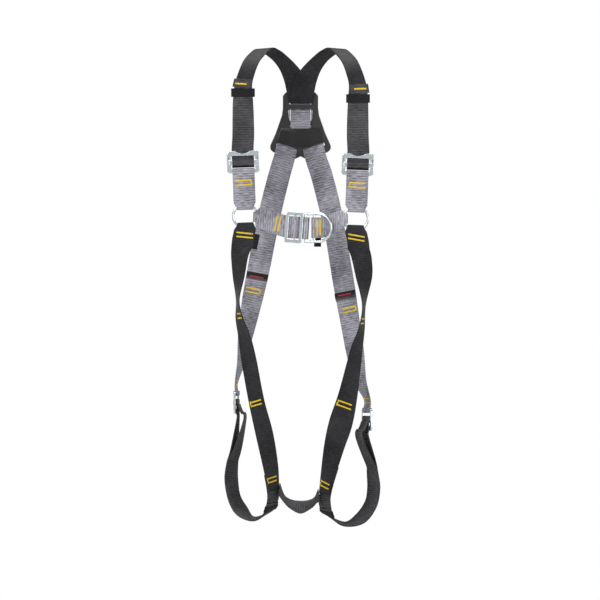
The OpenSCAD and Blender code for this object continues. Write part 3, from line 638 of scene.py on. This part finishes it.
left_leg_line = [thigh_start(left_front, -THIGH_SHIFT)] + [
    [-137.2, 538, -102.8, 538, -83, -1],
    [-133.6, 496, -110.8, 496, -80, -1],
    [-127.2, 450, -120.8, 450, -76, -1],
    [-128.2, 414, -114, 416, -74, -1],
    [-123.4, 380, -100, 382, -72, -1],
    [-117.2, 331.2, -87.4, 334, -68, -0.7],
    [-103.2, 250, -71.4, 252, -56, 0],
    [-89, 183.2, -54, 186, -40, 0.6],
    [-74.6, 120, -44.2, 122, -18, 1],
    [-65.2, 74, -42, 76, 4, 1],
    [-64, 48, -42, 50, 14, 1],
    [-73.2, 19.2, -54.8, 28, 30, 1],
    [-95.2, 7.2, -91.2, 12.8, 48, 1],
    [-125.2, 18, -108, 34, 56, 1],
    [-142.8, 46, -121.6, 58, 52, 1],
    [-150.8, 88, -126, 90, 42, 1],
    [-147.2, 122, -126, 118, 26, 1],
    [-139.2, 150, -124, 146, 12, 1]]
right_leg_line = [thigh_start(right_front, THIGH_SHIFT)] + [
    [102.4, 534, 142.8, 534, -83, 1],
    [111.2, 496, 143.6, 496, -80, 1],
    [124, 440, 130.8, 440, -76, 1],
    [116.8, 394, 128.8, 394, -74, 1],
    [103.2, 360, 125.4, 358, -72, 1],
    [93.6, 326, 121.6, 322, -68, 0.7],
    [76, 262, 114.4, 256, -56, 0],
    [58.4, 210, 104, 198, -42, -0.6],
    [48, 158, 86, 146, -24, -1],
    [39.2, 74, 62, 70, 2, -1],
    [37.2, 38, 60, 38, 14, -1],
    [51.2, 20, 69.2, 9.2, 30, -1],
    [89.2, 2.8, 92.8, -3.6, 48, -1],
    [114, 18.8, 128.8, 3.2, 56, -1],
    [132, 44.8, 152.8, 34, 52, -1],
    [136.8, 72, 160.4, 72, 42, -1],
    [136, 102, 156.4, 104, 28, -1],
    [134.8, 128, 151.2, 130, 14, -1]]
AT_SLOT = (34, 22, 3)
left_leg_line += [pose_station(left_leg, TAIL_DEPTH, z) for z in AT_SLOT]
right_leg_line += [pose_station(right_leg, TAIL_DEPTH, z) for z in AT_SLOT]


def thigh_turn(pose, shift):
    """The end of a thigh strap round its side ring, from behind over to the front."""
    r, c = RING_GAP + THICK / 2, RING_NEAR + RING_GAP
    path = [(r, (THIGH_SEWN - c) * i / SEWN_STEPS - THIGH_SEWN) for i in range(SEWN_STEPS)]
    path += [(r * math.cos(a), r * math.sin(a) - c) for a in half_circle]
    path += [(-r, -c - (THIGH_SEWN - c) * i / SEWN_STEPS) for i in range(1, SEWN_STEPS + 1)]
    return [row_across(pose, y, z, gathered_half(GATHERED, WIDTH, -z - RING_NEAR),
                       shift * ease((-z - RING_NEAR) / (THIGH_RUN - RING_NEAR)))
            for y, z in path]


for side, line, pose, shift in (("left", left_leg_line, left_front, -THIGH_SHIFT),
                                ("right", right_leg_line, right_front, THIGH_SHIFT)):
    rows = thigh_turn(pose, shift) + strap_rows(line, 0, THIGH_END)
    strap = weave_band(side + "_thigh_webbing", rows)
    sew_on(strap, black_webbing, side + "_thigh_strap")


# Leg loops: charcoal ribbed webbing sewn inside the end of each thigh strap. It goes
# behind the thigh to the leg buckle, round its slide bar and back along itself as a
# tail, which an elastic keeper holds near the crotch. The seat strap joins the loops.
LOOP_FROM, TAIL_FROM = 9.4, 11.2
BULGE_FROM, BULGE_RISE = 17.4, 12.0
ELASTIC_FROM, ELASTIC_TO, ELASTIC_LIFT, ELASTIC_THICK = 11.4, 11.8, 1.5, 1.1
ELASTIC_PAST = 0.025  # past each edge of the strap, as a share of its width


def inner_layer(last):
    """How far a loop lies inside its tail, with a bulge before the buckle."""
    def lift(u):
        t = min(max((u - BULGE_FROM) / (last - BULGE_FROM), 0), 1)
        return -LAYER - BULGE_RISE * (4 * t * (1 - t)) ** 2
    return lift


for side, line, pose in (("left", left_leg_line, left_leg), ("right", right_leg_line, right_leg)):
    rows = strap_rows(line, LOOP_FROM, lift=inner_layer(len(line) - 1))
    leg_loop = weave_band(side + "_leg_webbing", rows)
    sew_on(leg_loop, dark_webbing, side + "_leg_loop")
    tail = weave_band(side + "_leg_tail_webbing", strap_rows(line, TAIL_FROM))
    turn = weave_band(side + "_leg_tail_turn", slot_turn(pose, 0), closed=True)
    sew_on(joined(tail, turn), dark_webbing, side + "_leg_tail")
    outside, inside = [
        strap_rows(line, ELASTIC_FROM, ELASTIC_TO, lift, -ELASTIC_PAST, 1 + ELASTIC_PAST, 20)
        for lift in (ELASTIC_LIFT, -LAYER - ELASTIC_LIFT)]
    near_edge, far_edge = [[(o[k], i[k]) for o, i in zip(outside, inside)] for k in (0, 1)]
    walls = [weave_band(side + "_leg_keeper_" + wall, rows, thick=ELASTIC_THICK, threads=threads)
             for wall, rows, threads in (("elastic", outside, 8), ("inside", inside, 8),
                                         ("near", near_edge, 2), ("far", far_edge, 2))]
    sew_on(joined(*walls), trim_black, side + "_leg_keeper")
seat_line = [
    [-40.4, 84, -42.8, 60, 14, -0.6],
    [-31.2, 59.2, -34, 48, 19, -0.8],
    [-17.2, 50, -21.2, 34, 21, -0.7],
    [1.2, 47.6, 0.8, 22.8, 22, -0.6],
    [18.4, 49.2, 22.4, 33.2, 21, -0.7],
    [29.6, 55.6, 32.8, 43.6, 19, -0.8],
    [36.4, 71.6, 40, 47.6, 14, -0.6]]
seat = weave_band("seat_webbing", strap_rows(seat_line))
sew_on(seat, dark_webbing, "seat_strap")


# Stitching: bars of heavy yellow thread through every sewn joint, in pairs across the
# strap, and red thread on the pleats. Each bar stands a little proud of the webbing.
THREAD_WIDE, THREAD_THICK, STRAND_PITCH = 3.0, 0.9, 0.0011
BAR_STEPS, UPRIGHT_STEPS, SEARCH_STEPS = 12, 6, 400


def thread(name, colour):
    """Twisted thread, painted darker between its strands as shade in the grooves."""
    finish, tone, shader = new_finish(name)
    along = tone.place("UV").axes()[0]
    strand = along.wave(STRAND_PITCH)
    # deep is the painted shade between the strands.
    deep = tuple(c * 0.7 for c in colour)
    tone.blend(strand, deep, colour).feed(shader, "Base Color")
    (strand * -0.15 + 0.6).feed(shader, "Roughness")
    strand.raise_on(shader, strength=0.7, distance=0.0004)
    return finish


yellow_thread = thread("yellow_thread", (0.90, 0.62, 0.012))
red_thread = thread("red_thread", (0.52, 0.02, 0.04))


def strap_point(line, u, share, lift):
    """A point on a strap, at a share of its width."""
    return strap_rows(line, u, u, lift, near=share)[0][0]


def place_on(line, z, end=None):
    """Where a strap's middle passes a height, searched along its curve."""
    end = len(line) - 1 if end is None else end
    steps = [end * i / SEARCH_STEPS for i in range(SEARCH_STEPS + 1)]
    return min(steps, key=lambda u: abs(sum(p.z for p in edge_pair(line, u)) / 2 - z))


def bar_rows(line, u, near, far, lift, slant=0.0, wide=THREAD_WIDE):
    """A bar of thread across a strap, wide in millimetres along it."""
    a, b = edge_pair(line, max(u - AIM, 0)), edge_pair(line, u + AIM)
    per_unit = ((b[0] + b[1]) / 2 - (a[0] + a[1]) / 2).length / (2 * AIM)
    half = wide / 2 / per_unit
    rows = []
    for i in range(BAR_STEPS + 1):
        share = near + (far - near) * i / BAR_STEPS
        middle = u + slant * (i / BAR_STEPS - 0.5) / per_unit
        rows.append((strap_point(line, middle - half, share, lift),
                     strap_point(line, middle + half, share, lift)))
    return rows


def upright_rows(line, low, high, share, lift):
    """The bar that joins the ends of two cross bars, along the strap."""
    a, b = edge_pair(line, low)
    half = THREAD_WIDE / 2 / (b - a).length
    steps = [low + (high - low) * i / UPRIGHT_STEPS for i in range(UPRIGHT_STEPS + 1)]
    return [(strap_point(line, u, share - half, lift), strap_point(line, u, share + half, lift))
            for u in steps]


def flat_bar(pose, start, end, y, upright=False):
    """A bar of thread on a loop's front layer, between two points in the loop's X and Z."""
    half = THREAD_WIDE / 2
    rows = []
    for i in range(BAR_STEPS + 1):
        x, z = [a + (b - a) * i / BAR_STEPS for a, b in zip(start, end)]
        if upright:
            rows.append(row_across(pose, y, z, half, x))
        else:
            rows.append((pose_at(pose, x, y, z - half), pose_at(pose, x, y, z + half)))
    return rows


def sew_bars(name, bars, finish=yellow_thread):
    """One piece out of all the bars of a seam."""
    made = [weave_band("%s_%d" % (name, i), rows, thick=THREAD_THICK, threads=2)
            for i, rows in enumerate(bars)]
    piece = joined(*made) if len(made) > 1 else made[0]
    piece.name = name
    sew_on(piece, finish, None)


PROUD = THICK / 2 + SEAM
FOLD_PROUD = LAYER + 2.9
for side, line, u, span in (("left", left_shoulder_line, 6.02, (0.02, 0.68)),
                            ("right", right_shoulder_line, 5.68, (0.3, 0.96))):
    sew_bars(side + "_tail_stitch", [bar_rows(line, u, *span, -FOLD_PROUD)])

front_y = -RING_GAP - THICK - SEAM
for side, pose, out in (("left", left_front, 1), ("right", right_front, -1)):
    sew_bars(side + "_front_stitch", [
        flat_bar(pose, (-17 * out, 70.5), (15 * out, 71.5), front_y),
        flat_bar(pose, (-17 * out, 61.5), (15 * out, 62.5), front_y),
        flat_bar(pose, (14 * out, 70.5), (16 * out, 62.5), front_y, upright=True)])

PAIR_RISE = 9
RED_SPAN, RED_PROUD, RED_WIDE = (0.16, 0.8), 4.4, 2.6
END_SPAN = (0.12, 0.88)
for side, line, heights, span, red_z, end_z in (
        ("left", left_back_line, (472, 463.5), (0.1, 0.78), 495, 280),
        ("right", right_back_line, (434, 426), (0.22, 0.9), 461, 244)):
    ends = [place_on(line, z) for z in heights]
    bars = [bar_rows(line, u, *span, PROUD) for u in ends]
    sew_bars(side + "_back_stitch", bars + [upright_rows(line, *ends, span[1], PROUD)])
    red_bar = bar_rows(line, place_on(line, red_z), *RED_SPAN, RED_PROUD, wide=RED_WIDE)
    sew_bars(side + "_pleat_stitch", [red_bar], red_thread)
    sew_bars(side + "_back_end_stitch", [
        bar_rows(line, place_on(line, z), *END_SPAN, PROUD) for z in (end_z, end_z + PAIR_RISE)])

THIGH_SPAN, THIGH_UPRIGHT = (0.08, 0.8), 0.1
TOP_SLANT = 4.5
for side, line, pose, pairs, slant, hip_span, hip_z, top_span in (
        ("left", left_leg_line, left_front,
         ((249, 241), (95, 87)), -5, (0.35, 0.9), 414, (-19, 14)),
        ("right", right_leg_line, right_front,
         ((245, 236), (84, 76)), 5, (0.1, 0.65), 404, (-14, 19))):
    bars = []
    for heights in pairs:
        ends = [place_on(line, z, THIGH_END) for z in heights]
        bars += [bar_rows(line, u, *THIGH_SPAN, PROUD, slant) for u in ends]
        bars.append(upright_rows(line, *ends, THIGH_UPRIGHT, PROUD))
    sew_bars(side + "_thigh_stitch", bars)
    sew_bars(side + "_hip_stitch", [
        bar_rows(line, place_on(line, z, THIGH_END), *hip_span, lift)
        for z in (hip_z, hip_z + PAIR_RISE) for lift in (PROUD, -PROUD)])
    sew_bars(side + "_thigh_top_stitch", [
        flat_bar(pose, (top_span[0], z), (top_span[1], z - TOP_SLANT), front_y)
        for z in (-31.5, -39.5)])

CHEST_SLANT = 4
low, high = CHEST_NEAR + RING_GAP, left_far - LEFT_FAR_GAP
bars = []
for z in (64, 71):
    back = ease((z - low) / (high - low) / TUCK_SHARE) * (RING_GAP - LEFT_FAR_GAP + LEFT_TUCK)
    bars.append(flat_bar(left_chest, (-4, z), (26, z - CHEST_SLANT), back + front_y))
sew_bars("left_chest_stitch", bars)
right_y = -RIGHT_GAP - THICK - SEAM
bars = [flat_bar(right_chest, (-34, z), (-2, z), right_y) for z in (71, 77)]
sew_bars("right_chest_stitch", bars)


# Studio: a pale floor well below the hanging harness, large soft lights and a long
# lens straight in front, as in the catalogue picture.
FLOOR_RADIUS, FLOOR_Z = 9, -1.35
bpy.ops.object.select_all(action="DESELECT")
bpy.ops.mesh.primitive_circle_add(vertices=96, radius=FLOOR_RADIUS, fill_type="NGON",
                                  location=(0, 0, FLOOR_Z))
floor = bpy.context.object
floor.name = "floor"
pale, tone, shader = new_finish("pale_floor")
shader.inputs["Base Color"].default_value = (0.9, 0.9, 0.9, 1)
shader.inputs["Roughness"].default_value = 0.9
floor.data.materials.append(pale)


def ramp(value, start, end, first, last):
    """Goes from first to last while the value goes from start to end."""
    links = {"Value": value, "From Min": start, "From Max": end, "To Min": first, "To Max": last}
    return value.node("ShaderNodeMapRange", {}, links)


world = bpy.data.worlds.new("white_room")
world.use_nodes = True
room = Tone(world.node_tree)
_, depth, height = room.place("Generated").axes()
level = ramp(room.sum("ABSOLUTE", height), start=0.1, end=0.2, first=1.0, last=0.3)
ahead = ramp(depth, start=-0.3, end=0.1, first=0.62, last=1.0)
(level * ahead).feed(world.node_tree.nodes["Background"], "Color")
bpy.context.scene.world = world
bpy.context.scene.view_settings.view_transform = "Standard"


def soft_light(name, place, size, power, aim):
    """A square lamp at a place, turned towards what it lights."""
    lamp = bpy.data.lights.new(name, "AREA")
    lamp.energy = power
    lamp.size = size
    holder = bpy.data.objects.new(name, lamp)
    bpy.context.collection.objects.link(holder)
    holder.location = place
    holder.rotation_mode = "QUATERNION"
    holder.rotation_quaternion = (Vector(aim) - Vector(place)).to_track_quat("-Z", "Y")


middle = (-0.001, -0.08, -0.36)
soft_light("key", (-1.6, -2.4, 1.2), size=1.2, power=60, aim=middle)
soft_light("fill", (2.0, -2.2, 0.2), size=1.6, power=30, aim=middle)
soft_light("top", (0.0, 0.4, 2.2), size=1.4, power=40, aim=middle)
CAMERA_AWAY, PICTURE_MIDDLE = 20000, 450
lens = bpy.data.cameras.new("long_lens")
lens.sensor_width = 36
lens.lens = 600
lens.clip_end = 100
camera = bpy.data.objects.new("long_lens", lens)
bpy.context.collection.objects.link(camera)
camera.location = spot(0, -CAMERA_AWAY, PICTURE_MIDDLE)
camera.rotation_euler = (math.radians(90), 0, 0)
bpy.context.scene.camera = camera
